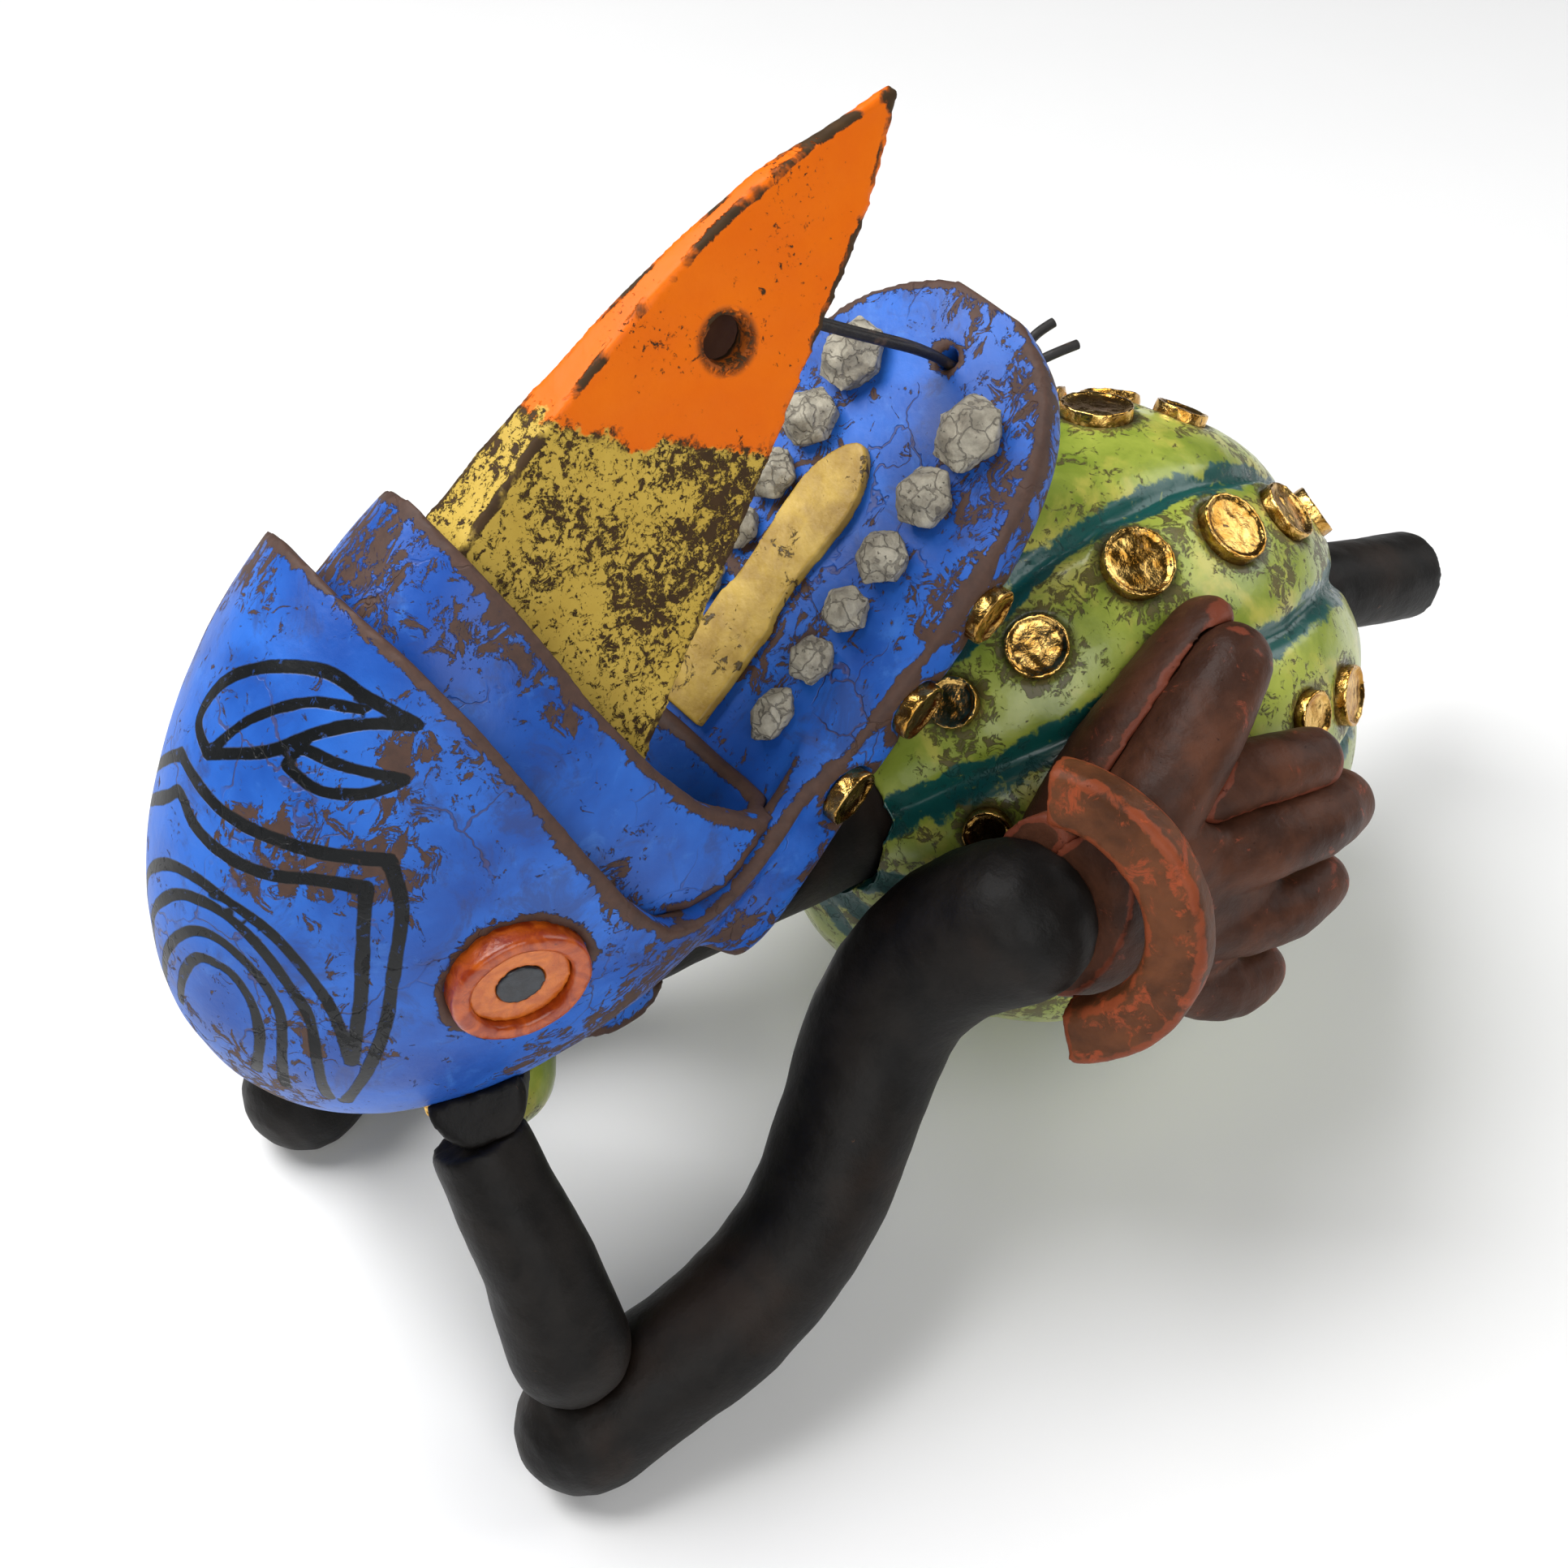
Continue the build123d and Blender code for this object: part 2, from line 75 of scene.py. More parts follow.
def turned_to_head(directions):
    """Directions of the figure, as directions of the head's own frame."""
    x, y, z = directions.T
    s = math.cos(JAW_ANGLE) * y + math.sin(JAW_ANGLE) * z
    h = -math.sin(JAW_ANGLE) * y + math.cos(JAW_ANGLE) * z
    return np.stack([x, s, h], 1)


def to_head(points):
    """Points of the figure, in mm, as points (x, s, h) of the head's own frame, in mm."""
    return turned_to_head(points - [0, DATUM_Y, 0])


def applied(piece):
    """The piece's mesh with its modifiers in it."""
    graph = bpy.context.evaluated_depsgraph_get()
    mesh = bpy.data.meshes.new_from_object(piece.evaluated_get(graph))
    piece.modifiers.clear()
    piece.data = mesh
    mesh.shade_smooth()
    mesh.materials.clear()


def rebuilt(node, voxel, relax):
    """A finer copy of a CAD node, its corners softened as hand-worked clay is."""
    piece = bpy.data.objects.new("look_" + node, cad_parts[node].data.copy())
    bpy.context.scene.collection.objects.link(piece)
    remesh = piece.modifiers.new("remesh", "REMESH")
    remesh.mode = "VOXEL"
    remesh.voxel_size = voxel * MM
    if relax:
        soften = piece.modifiers.new("soften", "SMOOTH")
        soften.iterations = relax
        soften.factor = 0.5
    applied(piece)
    return piece


def places(piece):
    co = np.empty(len(piece.data.vertices) * 3)
    piece.data.vertices.foreach_get("co", co)
    return co.reshape(-1, 3) / MM


def normals(piece):
    out = np.empty(len(piece.data.vertices) * 3)
    piece.data.vertex_normals.foreach_get("vector", out)
    return out.reshape(-1, 3)


def push(piece, amount):
    """Moves each vertex along its normal, by mm."""
    moved = places(piece) + normals(piece) * np.asarray(amount)[:, None]
    piece.data.vertices.foreach_set("co", (moved * MM).ravel())
    piece.data.update()


def rough(points, size, octaves=3, shift=0.0):
    """Noise about 0 for each point, with lumps of that size in mm."""
    offset = Vector((shift, shift * 2, -shift))
    return np.array([noise.fractal(Vector(p) / size + offset, 1.0, 2.0, octaves) for p in points])


def store(piece, name, values):
    attribute = piece.data.attributes.new(name, "FLOAT", "POINT")
    attribute.data.foreach_set("value", np.asarray(values, np.float32))


def neighbour_mean(values, edges, count):
    total = np.zeros_like(values)
    np.add.at(total, edges[:, 0], values[edges[:, 1]])
    np.add.at(total, edges[:, 1], values[edges[:, 0]])
    return total / (count[:, None] if values.ndim > 1 else count)


def store_edges(piece, rounds=3):
    """How sharply the clay turns outwards, in 1/mm, as the attribute edge. Rims and corners wear there."""
    co, up = places(piece), normals(piece)
    edges = np.empty(len(piece.data.edges) * 2, np.int64)
    piece.data.edges.foreach_get("vertices", edges)
    edges = edges.reshape(-1, 2)
    count = np.maximum(np.bincount(edges.ravel(), minlength=len(co)), 1).astype(float)
    step = np.linalg.norm(co[edges[:, 0]] - co[edges[:, 1]], axis=1).mean()
    bend = 4 * ((co - neighbour_mean(co, edges, count)) * up).sum(1) / step**2
    for _ in range(rounds):
        bend = (bend + neighbour_mean(bend, edges, count)) / 2
    store(piece, "edge", bend)


def nearest(points, others):
    """Distance in mm from each point to the nearest of the others."""
    tree = kdtree.KDTree(len(others))
    for i, p in enumerate(others):
        tree.insert(Vector(p), i)
    tree.balance()
    return np.array([tree.find(Vector(p))[2] for p in points])


def smooth_line(points, steps=6):
    """A Catmull-Rom line through the points."""
    p = np.array(points, float)
    p = np.vstack([2 * p[0] - p[1], p, 2 * p[-1] - p[-2]])
    line = []
    for i in range(1, len(p) - 2):
        a, b, c, d = p[i - 1 : i + 3]
        for t in np.arange(steps) / steps:
            curved = (2 * a - 5 * b + 4 * c - d) * t**2 + (3 * b - a - 3 * c + d) * t**3
            line.append(0.5 * (2 * b + (c - a) * t + curved))
    line.append(p[-2])
    return np.array(line)


def distance_to_line(points, line):
    best = np.full(len(points), 1e9)
    for a, b in zip(line[:-1], line[1:]):
        ab = b - a
        t = np.clip(((points - a) @ ab) / max(ab @ ab, 1e-9), 0, 1)
        best = np.minimum(best, np.linalg.norm(points - a - t[:, None] * ab, axis=1))
    return best


def belongs(piece, node, body="figure", material=None):
    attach(piece, body)
    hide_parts(node)
    if material is not None:
        piece.data.materials.append(material)
    return piece


# ---- Materials ----
class Look:
    """A material made of nodes, in the object's own coordinates, in metres."""

    def __init__(self, name):
        self.material = bpy.data.materials.new(name)
        self.material.use_nodes = True
        self.tree = self.material.node_tree
        self.shader = self.tree.nodes["Principled BSDF"]
        self.place = self.node("ShaderNodeTexCoord").outputs["Object"]

    def node(self, kind, **values):
        made = self.tree.nodes.new(kind)
        for key, value in values.items():
            setattr(made, key, value)
        return made

    def put(self, socket, value):
        if isinstance(value, bpy.types.NodeSocket):
            self.tree.links.new(value, socket)
        elif isinstance(value, tuple) and len(value) == 3 and socket.type == "RGBA":
            socket.default_value = (*value, 1)
        else:
            socket.default_value = value

    def math(self, operation, a, b=0.0):
        made = self.node("ShaderNodeMath", operation=operation)
        self.put(made.inputs[0], a)
        self.put(made.inputs[1], b)
        return made.outputs[0]

    def plus(self, a, b):
        return self.math("ADD", a, b)

    def minus(self, a, b):
        return self.math("SUBTRACT", a, b)

    def times(self, a, b):
        return self.math("MULTIPLY", a, b)

    def noise(self, size, detail=5, roughness=0.6, warp=0.0, shift=0.0, stretch=(1, 1, 1)):
        """Noise from 0 to 1 with lumps of about that size in mm."""
        moved = self.node("ShaderNodeMapping")
        self.put(moved.inputs["Vector"], self.place)
        moved.inputs["Location"].default_value = (shift, shift * 0.7, -shift)
        moved.inputs["Scale"].default_value = stretch
        made = self.node("ShaderNodeTexNoise")
        self.put(made.inputs["Vector"], moved.outputs[0])
        made.inputs["Scale"].default_value = 1000 / size
        made.inputs["Detail"].default_value = detail
        made.inputs["Roughness"].default_value = roughness
        made.inputs["Distortion"].default_value = warp
        return made.outputs[0]

    def cracks(self, size, width, shift=0.0):
        """1 on thin wandering lines between cells of about that size in mm."""
        wander = self.node("ShaderNodeTexNoise")
        wander.inputs["Scale"].default_value = 1000 / size * 1.3
        wander.inputs["Detail"].default_value = 4
        self.put(wander.inputs["Vector"], self.place)
        bent = self.node("ShaderNodeVectorMath", operation="MULTIPLY_ADD")
        self.put(bent.inputs[0], wander.outputs["Color"])
        bent.inputs[1].default_value = [size * MM * 1.1] * 3
        self.put(bent.inputs[2], self.place)
        moved = self.node("ShaderNodeMapping")
        self.put(moved.inputs["Vector"], bent.outputs[0])
        moved.inputs["Location"].default_value = (shift, -shift, shift)
        cells = self.node("ShaderNodeTexVoronoi", feature="DISTANCE_TO_EDGE")
        self.put(cells.inputs["Vector"], moved.outputs[0])
        cells.inputs["Scale"].default_value = 1000 / size
        return self.step(cells.outputs["Distance"], width, width * 0.3)

    def attribute(self, name):
        return self.node("ShaderNodeAttribute", attribute_name=name).outputs["Fac"]

    def step(self, value, low, high):
        """0 up to low, 1 from high on, smooth between. low may be the larger."""
        made = self.node("ShaderNodeMapRange", interpolation_type="SMOOTHSTEP")
        self.put(made.inputs["Value"], value)
        self.put(made.inputs["From Min"], low)
        self.put(made.inputs["From Max"], high)
        return made.outputs[0]

    def blend(self, share, a, b):
        made = self.node("ShaderNodeMix", data_type="RGBA", blend_type="MIX")
        self.put(made.inputs[0], share)
        self.put(made.inputs[6], a)
        self.put(made.inputs[7], b)
        return made.outputs[2]

    def either(self, *masks):
        out = masks[0]
        for mask in masks[1:]:
            out = self.math("MAXIMUM", out, mask)
        return out

    def finish(self, colour, roughness, height=None, depth=0.3, **sockets):
        self.put(self.shader.inputs["Base Color"], colour)
        self.put(self.shader.inputs["Roughness"], roughness)
        if height is not None:
            bump = self.node("ShaderNodeBump")
            bump.inputs["Distance"].default_value = depth * MM
            bump.inputs["Strength"].default_value = 1.0
            self.put(bump.inputs["Height"], height)
            self.put(self.shader.inputs["Normal"], bump.outputs[0])
        for name, value in sockets.items():
            self.put(self.shader.inputs[name.replace("_", " ")], value)
        return self.material


def cobalt_paint(name, inked=False):
    """Blue paint over brown clay, rubbed through on rims and in patches, with fine cracks."""
    look = Look(name)
    cloud = look.noise(26, 4, 0.55, 0.3)
    blue = look.blend(look.step(cloud, 0.3, 0.7), (0.010, 0.070, 0.36), (0.024, 0.150, 0.62))
    pale = look.step(look.noise(9, 6, 0.7, 0.5, 3.0), 0.56, 0.72)
    blue = look.blend(look.times(pale, 0.35), blue, (0.07, 0.24, 0.70))
    dirt = look.step(look.noise(14, 8, 0.72, 0.8, 1.0), 0.52, 0.66)
    blue = look.blend(look.times(dirt, 0.6), blue, (0.030, 0.050, 0.17))
    area = look.step(look.noise(38, 3, 0.5, 0.0, 5.0), 0.40, 0.66)
    grain = look.noise(5.0, 10, 0.74, 1.1, 2.0)
    limit = look.minus(0.64, look.times(area, 0.13))
    patches = look.step(look.minus(grain, limit), -0.006, 0.012)
    streak = look.noise(4.0, 8, 0.7, 0.6, 8.0, (1.0, 0.45, 0.45))
    streaks = look.step(look.minus(streak, limit), 0.0, 0.02)
    edge = look.plus(look.attribute("edge"), look.times(look.minus(grain, 0.5), 0.95))
    rims = look.step(edge, 0.135, 0.18)
    cracks = look.times(look.cracks(23, 0.014), look.step(look.noise(30, 3, 0.5, 0, 9.0), 0.48, 0.60))
    brown = look.blend(look.noise(3.0, 6, 0.7), (0.030, 0.020, 0.020), (0.125, 0.062, 0.040))
    worn = look.either(patches, streaks, rims)
    colour = look.blend(look.either(worn, look.times(cracks, 0.6)), blue, brown)
    height = look.minus(look.times(look.noise(6, 6, 0.6), 0.5), look.times(worn, 0.45))
    height = look.minus(height, look.times(cracks, 0.5))
    if inked:
        wobble = look.times(look.minus(look.noise(7, 5, 0.6, 0, 4.0), 0.5), 0.9)
        line = look.step(look.plus(look.attribute("ink"), wobble), 0.42, 0.12)
        chipped = look.step(look.noise(2.2, 6, 0.7, 0.5, 6.0), 0.60, 0.64)
        line = look.times(line, look.minus(1.0, look.times(chipped, 0.35)))
        colour = look.blend(line, colour, (0.002, 0.003, 0.004))
        ring = look.step(look.plus(look.attribute("eye"), look.times(grain, 3.0)), 3.9, 2.4)
        colour = look.blend(look.times(ring, 0.9), colour, (0.05, 0.022, 0.016))
        height = look.minus(height, look.times(line, 0.35))
    roughness = look.plus(look.times(worn, 0.22), look.times(cloud, 0.25))
    return look.finish(colour, look.plus(roughness, 0.30), height, 0.45, Specular_IOR_Level=0.32)


def beak_paint():
    """Orange over yellow, densely speckled with the dark clay beneath, chipped along the corners, with
    painted shade in the dark clay colour on the nostril bore and on the faces inside the beak.
    """
    look = Look("beak_paint")
    grain = look.noise(3.0, 10, 0.78, 0.6)
    split = look.plus(look.attribute("split"), look.times(look.minus(look.noise(16, 6, 0.65), 0.5), 26))
    orange_part = look.step(split, -0.8, 0.8)
    yellow = look.blend(look.noise(12, 5, 0.6, 0.3, 2.0), (0.44, 0.28, 0.032), (0.68, 0.48, 0.09))
    orange = look.blend(look.noise(20, 5, 0.6, 0.3, 3.0), (0.74, 0.11, 0.0005), (0.88, 0.19, 0.001))
    colour = look.blend(orange_part, yellow, orange)
    area = look.step(look.noise(22, 4, 0.6, 0.4, 4.0), 0.36, 0.68)
    cover = look.plus(0.585, look.times(orange_part, 0.115))
    limit = look.minus(cover, look.times(area, 0.10))
    specks = look.step(look.minus(grain, limit), -0.01, 0.015)
    fine = look.noise(1.3, 6, 0.75, 0.0, 7.0)
    dust = look.step(look.minus(fine, limit), 0.0, 0.03)
    border = look.step(look.math("ABSOLUTE", split), 2.2, 0.3)
    border = look.times(border, look.step(look.noise(3, 5, 0.7, 0, 5.0), 0.48, 0.56))
    edge = look.plus(look.attribute("edge"), look.times(look.minus(grain, 0.5), 0.75))
    rims = look.times(look.step(edge, 0.24, 0.32), look.step(look.noise(13, 5, 0.6, 0.3, 8.0), 0.47, 0.58))
    # Painted shade and chips: the nostril's bore wall and its rim darken in patches, painted shade in the
    # bore and chipped paint on the rim.
    hole = look.times(look.step(look.attribute("hole"), 2.6, 0.6), look.step(grain, 0.42, 0.55))
    # worn holds the real specks, dust and chips and also the painted shade of the nostril bore and of the
    # faces inside the beak, all laid in the dark clay colour.
    worn = look.either(specks, dust, border, rims, hole, look.times(look.attribute("painted_shade_inside"), 0.93))
    clay = look.blend(look.noise(4, 5), (0.022, 0.013, 0.006), (0.085, 0.043, 0.014))
    colour = look.blend(worn, colour, clay)
    height = look.minus(look.times(look.noise(7, 6, 0.6), 0.5), look.times(worn, 0.5))
    return look.finish(colour, look.plus(look.times(worn, 0.2), 0.45), height, 0.45, Specular_IOR_Level=0.18)


def green_glaze():
    """Yellow-green glaze with brown speckle, teal seams and dark halos round the discs."""
    look = Look("green_glaze")
    cloud = look.noise(24, 5, 0.6, 0.4)
    green = look.blend(look.step(cloud, 0.32, 0.68), (0.20, 0.27, 0.026), (0.43, 0.49, 0.075))
    yellow = look.step(look.noise(17, 5, 0.6, 0.3, 2.0), 0.50, 0.66)
    green = look.blend(look.times(yellow, 0.65), green, (0.60, 0.52, 0.10))
    grain = look.noise(3.2, 10, 0.78, 0.8, 1.0)
    area = look.step(look.noise(25, 4, 0.6, 0.5, 5.0), 0.38, 0.66)
    near = look.step(look.attribute("halo"), 6.0, 1.0)
    limit = look.minus(0.615, look.times(look.math("MAXIMUM", area, near), 0.135))
    specks = look.step(look.minus(grain, limit), -0.01, 0.03)
    brown = look.blend(look.noise(5, 5), (0.035, 0.030, 0.006), (0.14, 0.10, 0.018))
    colour = look.blend(look.times(specks, 0.92), green, brown)
    wobble = look.times(look.minus(look.noise(9, 6, 0.65, 0, 3.0), 0.5), 11.0)
    seam = look.step(look.plus(look.attribute("seam"), wobble), 4.6, 3.4)
    thin = look.step(look.noise(4.5, 7, 0.7, 0.6, 9.0), 0.60, 0.68)
    seam = look.times(seam, look.minus(1.0, look.times(thin, 0.6)))
    teal = look.blend(look.noise(8, 4), (0.004, 0.050, 0.048), (0.010, 0.115, 0.095))
    colour = look.blend(seam, colour, teal)
    ring = look.plus(look.attribute("halo"), look.times(grain, 4.0))
    halo = look.step(ring, 4.6, 2.4)
    colour = look.blend(look.times(halo, 0.85), colour, (0.030, 0.036, 0.012))
    height = look.plus(look.times(look.noise(5, 6, 0.6), 0.5), look.times(specks, -0.3))
    roughness = look.plus(look.times(specks, 0.25), 0.30)
    return look.finish(colour, roughness, height, 0.35, Coat_Weight=0.25, Coat_Roughness=0.12)


def gold_lustre():
    """Uneven gold lustre over a dark glaze, thin and brown in places."""
    look = Look("gold_lustre")
    cloud = look.noise(6, 6, 0.65, 0.8)
    gold = look.blend(look.step(cloud, 0.35, 0.68), (0.42, 0.20, 0.030), (0.88, 0.57, 0.18))
    gone = look.step(look.noise(3.4, 8, 0.75, 0.6, 2.0), 0.59, 0.66)
    colour = look.blend(look.times(gone, 0.85), gold, (0.07, 0.035, 0.010))
    height = look.plus(look.noise(2.6, 5, 0.6, 0.4, 1.0), look.times(look.noise(1.1, 4), 0.25))
    roughness = look.plus(look.times(gone, 0.35), 0.17)
    metal = look.minus(1.0, look.times(gone, 0.7))
    return look.finish(colour, roughness, height, 0.3, Metallic=metal)


def black_clay():
    """Matte black paint, with brown scuffs along it."""
    look = Look("black_clay")
    cloud = look.noise(18, 5, 0.6, 0.3)
    black = look.blend(look.step(cloud, 0.35, 0.7), (0.0040, 0.0034, 0.0030), (0.0135, 0.0110, 0.0092))
    warm = look.step(look.noise(34, 4, 0.55, 0.3, 6.0), 0.52, 0.70)
    black = look.blend(look.times(warm, 0.5), black, (0.030, 0.017, 0.011))
    scuff = look.step(look.noise(3.4, 9, 0.76, 0.9, 1.0), 0.675, 0.71)
    scratch = look.step(look.noise(3.0, 6, 0.7, 0.2, 4.0, (1.0, 0.25, 0.4)), 0.70, 0.73)
    worn = look.either(scuff, scratch)
    colour = look.blend(look.times(worn, 0.8), black, (0.12, 0.055, 0.026))
    height = look.plus(look.times(look.noise(7, 6, 0.62), 0.8), look.times(look.noise(1.2, 4), 0.15))
    roughness = look.plus(look.times(cloud, 0.22), 0.42)
    return look.finish(colour, roughness, height, 0.5, Specular_IOR_Level=0.20)


def brown_clay(name, dark, light, rubbed, share):
    """Brown painted clay, rubbed to red where it stands out."""
    look = Look(name)
    cloud = look.noise(16, 5, 0.6, 0.4)
    brown = look.blend(look.step(cloud, 0.32, 0.7), dark, light)
    grain = look.noise(4.0, 9, 0.74, 0.9, 1.0)
    edge = look.plus(look.attribute("edge"), look.times(look.minus(grain, 0.5), 0.5))
    rub = look.times(look.step(edge, 0.26, 0.36), 0.6)
    patch = look.step(look.noise(9, 7, 0.7, 0.8, 3.0), share, share + 0.07)
    patch = look.times(patch, look.step(grain, 0.40, 0.56))
    red = look.blend(look.noise(5, 5, 0.6, 0, 2.0), rubbed, tuple(min(1.0, c * 1.7) for c in rubbed))
    colour = look.blend(look.times(look.either(rub, patch), 0.85), brown, red)
    pit = look.step(look.noise(2.0, 7, 0.75, 0, 5.0), 0.66, 0.70)
    colour = look.blend(look.times(pit, 0.7), colour, (0.018, 0.009, 0.006))
    height = look.minus(look.noise(6, 6, 0.62), look.times(pit, 0.4))
    return look.finish(colour, look.plus(look.times(cloud, 0.22), 0.38), height, 0.5, Specular_IOR_Level=0.20)


def stone():
    look = Look("grey_stone")
    cloud = look.noise(5, 6, 0.65, 0.4)
    grey = look.blend(look.step(cloud, 0.3, 0.72), (0.24, 0.215, 0.165), (0.53, 0.49, 0.385))
    pits = look.step(look.noise(1.7, 8, 0.78, 0.4, 1.0), 0.60, 0.66)
    vein = look.cracks(4.5, 0.06, 0.01)
    dark = look.either(pits, look.times(vein, 0.6))
    colour = look.blend(look.times(dark, 0.85), grey, (0.050, 0.042, 0.034))
    height = look.minus(look.noise(2.2, 7, 0.7), look.times(dark, 0.7))
    return look.finish(colour, 0.62, height, 0.5)


def ochre_paint():
    look = Look("ochre_paint")
    cloud = look.noise(10, 5, 0.6, 0.3)
    ochre = look.blend(look.step(cloud, 0.3, 0.7), (0.34, 0.20, 0.026), (0.60, 0.40, 0.075))
    grain = look.noise(3.2, 10, 0.78, 0.8, 1.0)
    area = look.step(look.noise(16, 4, 0.6, 0.4, 4.0), 0.38, 0.66)
    specks = look.step(look.minus(grain, look.minus(0.64, look.times(area, 0.12))), 0.0, 0.03)
    colour = look.blend(look.times(specks, 0.9), ochre, (0.050, 0.030, 0.010))
    return look.finish(colour, 0.48, look.minus(look.noise(5, 6), look.times(specks, 0.4)), 0.4)


def enamel(name, dark, light, speck, gloss):
    """Thick glossy paint, laid in brush turns, with a few dark specks."""
    look = Look(name)
    turn = look.noise(5, 5, 0.6, 1.4)
    paint = look.blend(look.step(turn, 0.34, 0.66), dark, light)
    specks = look.step(look.noise(2.0, 8, 0.75, 0.4, 1.0), 0.63, 0.67)
    colour = look.blend(look.times(specks, 0.7), paint, speck)
    return look.finish(colour, gloss, look.noise(3.5, 5), 0.3, Coat_Weight=0.15, Coat_Roughness=0.15)


def leather():
    """Black lace, worn brown on the inside."""
    look = Look("black_leather")
    cloud = look.noise(2.2, 6, 0.7, 0.3, 0, (1.0, 0.4, 0.4))
    colour = look.blend(look.step(cloud, 0.52, 0.72), (0.010, 0.008, 0.007), (0.085, 0.050, 0.030))
    return look.finish(colour, 0.48, look.noise(0.8, 5, 0.7), 0.15)


def dowel_wood():
    look = Look("dowel_wood")
    fibre = look.noise(2.5, 7, 0.6, 0.2, 0, (0.12, 1.0, 1.0))
    colour = look.blend(look.step(fibre, 0.35, 0.68), (0.15, 0.075, 0.032), (0.36, 0.21, 0.10))
    return look.finish(colour, 0.6, fibre, 0.2)


# ---- Pieces ----
BLUE = cobalt_paint("cobalt_paint")
BLUE_INKED = cobalt_paint("cobalt_paint_inked", inked=True)
BLACK = black_clay()
GOLD = gold_lustre()
STONE = stone()
GREEN = green_glaze()
HAND_BROWN = brown_clay(
    "hand_brown",
    dark=(0.040, 0.015, 0.008),
    light=(0.105, 0.038, 0.019),
    rubbed=(0.20, 0.045, 0.022),
    share=0.60,
)
CUFF_BROWN = brown_clay(
    "cuff_brown",
    dark=(0.062, 0.022, 0.008),
    light=(0.155, 0.052, 0.019),
    rubbed=(0.26, 0.050, 0.016),
    share=0.53,
)

# Painted lines on the crown: (half width, points x, s, h in mm of the head's own frame)
ARCS = (
    (
        0.85,
        ((1, 52, 118), (4, 59, 124), (8, 64, 128), (12, 66, 128))
        + ((16, 66, 126), (19, 63, 121), (19, 57, 114), (15, 49, 106)),
    ),
    (
        0.85,
        ((-7, 50, 116), (-1, 60, 126), (6, 68, 131), (12, 71, 131))
        + ((18, 70, 128), (22, 68, 122), (23, 62, 115), (18, 49, 100)),
    ),
    (
        0.85,
        ((-10, 55, 121), (-7, 63, 128), (-1, 70, 133), (5, 74, 135), (13, 76, 134))
        + ((20, 75, 129), (25, 71, 122), (27, 66, 113), (23, 51, 94)),
    ),
    (
        0.85,
        ((-13, 61, 125), (-11, 69, 130), (-3, 75, 136), (6, 78, 137), (15, 79, 134))
        + ((22, 79, 129), (27, 76, 122), (30, 71, 114), (30, 63, 103)),
    ),
)
FRET = (
    (1.0, ((30, 63, 103), (33, 75, 113), (33, 86, 121))),
    (1.0, ((33, 86, 121), (32, 96, 128))),
    (
        1.0,
        ((32, 96, 128), (26, 92, 133), (18, 87, 137), (10, 85, 140))
        + ((2, 86, 141), (-4, 88, 142), (-8, 85, 140), (-19, 79, 133)),
    ),
    (1.0, ((-21, 84, 135), (-14, 89, 140), (-7, 94, 143))),
    (1.0, ((-7, 94, 143), (1, 92, 144), (9, 92, 142), (18, 94, 139), (26, 97, 135), (33, 103, 128))),
    (1.0, ((33, 103, 128), (36, 96, 122), (36, 84, 114), (35, 74, 107), (31, 62, 99), (24, 52, 91))),
)
LEAVES = (
    (
        0.95,
        ((0, 98, 145), (-6, 101, 146), (-4, 109, 148), (4, 117, 149))
        + ((14, 123, 147), (22, 124, 142), (29, 125, 137)),
    ),
    (0.85, ((29, 125, 137), (23, 120, 141), (18, 114, 144), (12, 106, 145), (0, 98, 145))),
    (0.7, ((0, 98, 145), (6, 108, 147), (14, 117, 146), (22, 122, 142))),
    (0.8, ((16, 106, 144), (17, 110, 144), (23, 112, 140), (31, 116, 134))),
    (0.8, ((31, 116, 134), (28, 110, 137), (22, 106, 140), (16, 106, 144))),
)
CROWN_LINES = ARCS + FRET + LEAVES


def on_cranium(points):
    """The points moved straight out from the cranium's middle onto its surface."""
    out = (points - CRANIUM_CENTRE) / CRANIUM_RADII
    return CRANIUM_CENTRE + out / np.linalg.norm(out, axis=1)[:, None] * CRANIUM_RADII


def crown_ink(points):
    """Distance in mm past the edge of the nearest painted line, negative inside it."""
    best = np.full(len(points), 50.0)
    upper = np.where(points[:, 2] > 70)[0]
    for half_width, route in CROWN_LINES:
        line = on_cranium(smooth_line(route))
        near = distance_to_line(points[upper], line) - half_width
        best[upper] = np.minimum(best[upper], near)
    return best


def make_head():
    piece = rebuilt("head_shell", 1.15, 3)
    push(piece, rough(places(piece), 22, 2) * 0.5)
    store_edges(piece)
    local = to_head(places(piece))
    store(piece, "ink", crown_ink(local))
    eyes = np.vstack([places(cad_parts[f"eye_ring_{side}"]) for side in ("left", "right")])
    store(piece, "eye", nearest(places(piece), eyes))
    belongs(piece, "head_shell", material=BLUE_INKED)


def make_collar():
    piece = rebuilt("palate_collar", 1.15, 3)
    push(piece, rough(places(piece), 20, 2, 3) * 0.4)
    store_edges(piece)
    belongs(piece, "palate_collar", material=BLUE)


def make_beak():
    piece = rebuilt("beak", 0.9, 2)
    push(piece, rough(places(piece), 16, 3, 5) * 0.3)
    store_edges(piece)
    x, s, h = to_head(places(piece)).T
    # The orange starts further forward at the lower edge than at the crest
    border = 177 + np.clip((124 - h) / 40, 0, 1) * 17
    store(piece, "split", s - border)
    # Distance from the nostril bore; the paint turns it into painted shade in the bore and chipped paint
    # round its rim.
    store(piece, "hole", np.hypot(s - 206, h - 105) - 4.3)
    # Faces turned into the beak's hollow, and the bore itself, are marked for painted shade, dark where the
    # inside lies in shade.
    facing = turned_to_head(normals(piece))
    inwards = np.maximum(-facing[:, 0] * np.sign(x), np.where((np.abs(x) < 3) & (h > 98), -facing[:, 2], 0))
    in_bore = np.hypot(s - 206, h - 105) < 5.2
    store(piece, "painted_shade_inside", np.clip((inwards - 0.1) * 5, 0, 1) + in_bore * 0.7)
    belongs(piece, "beak", body="beak", material=beak_paint())


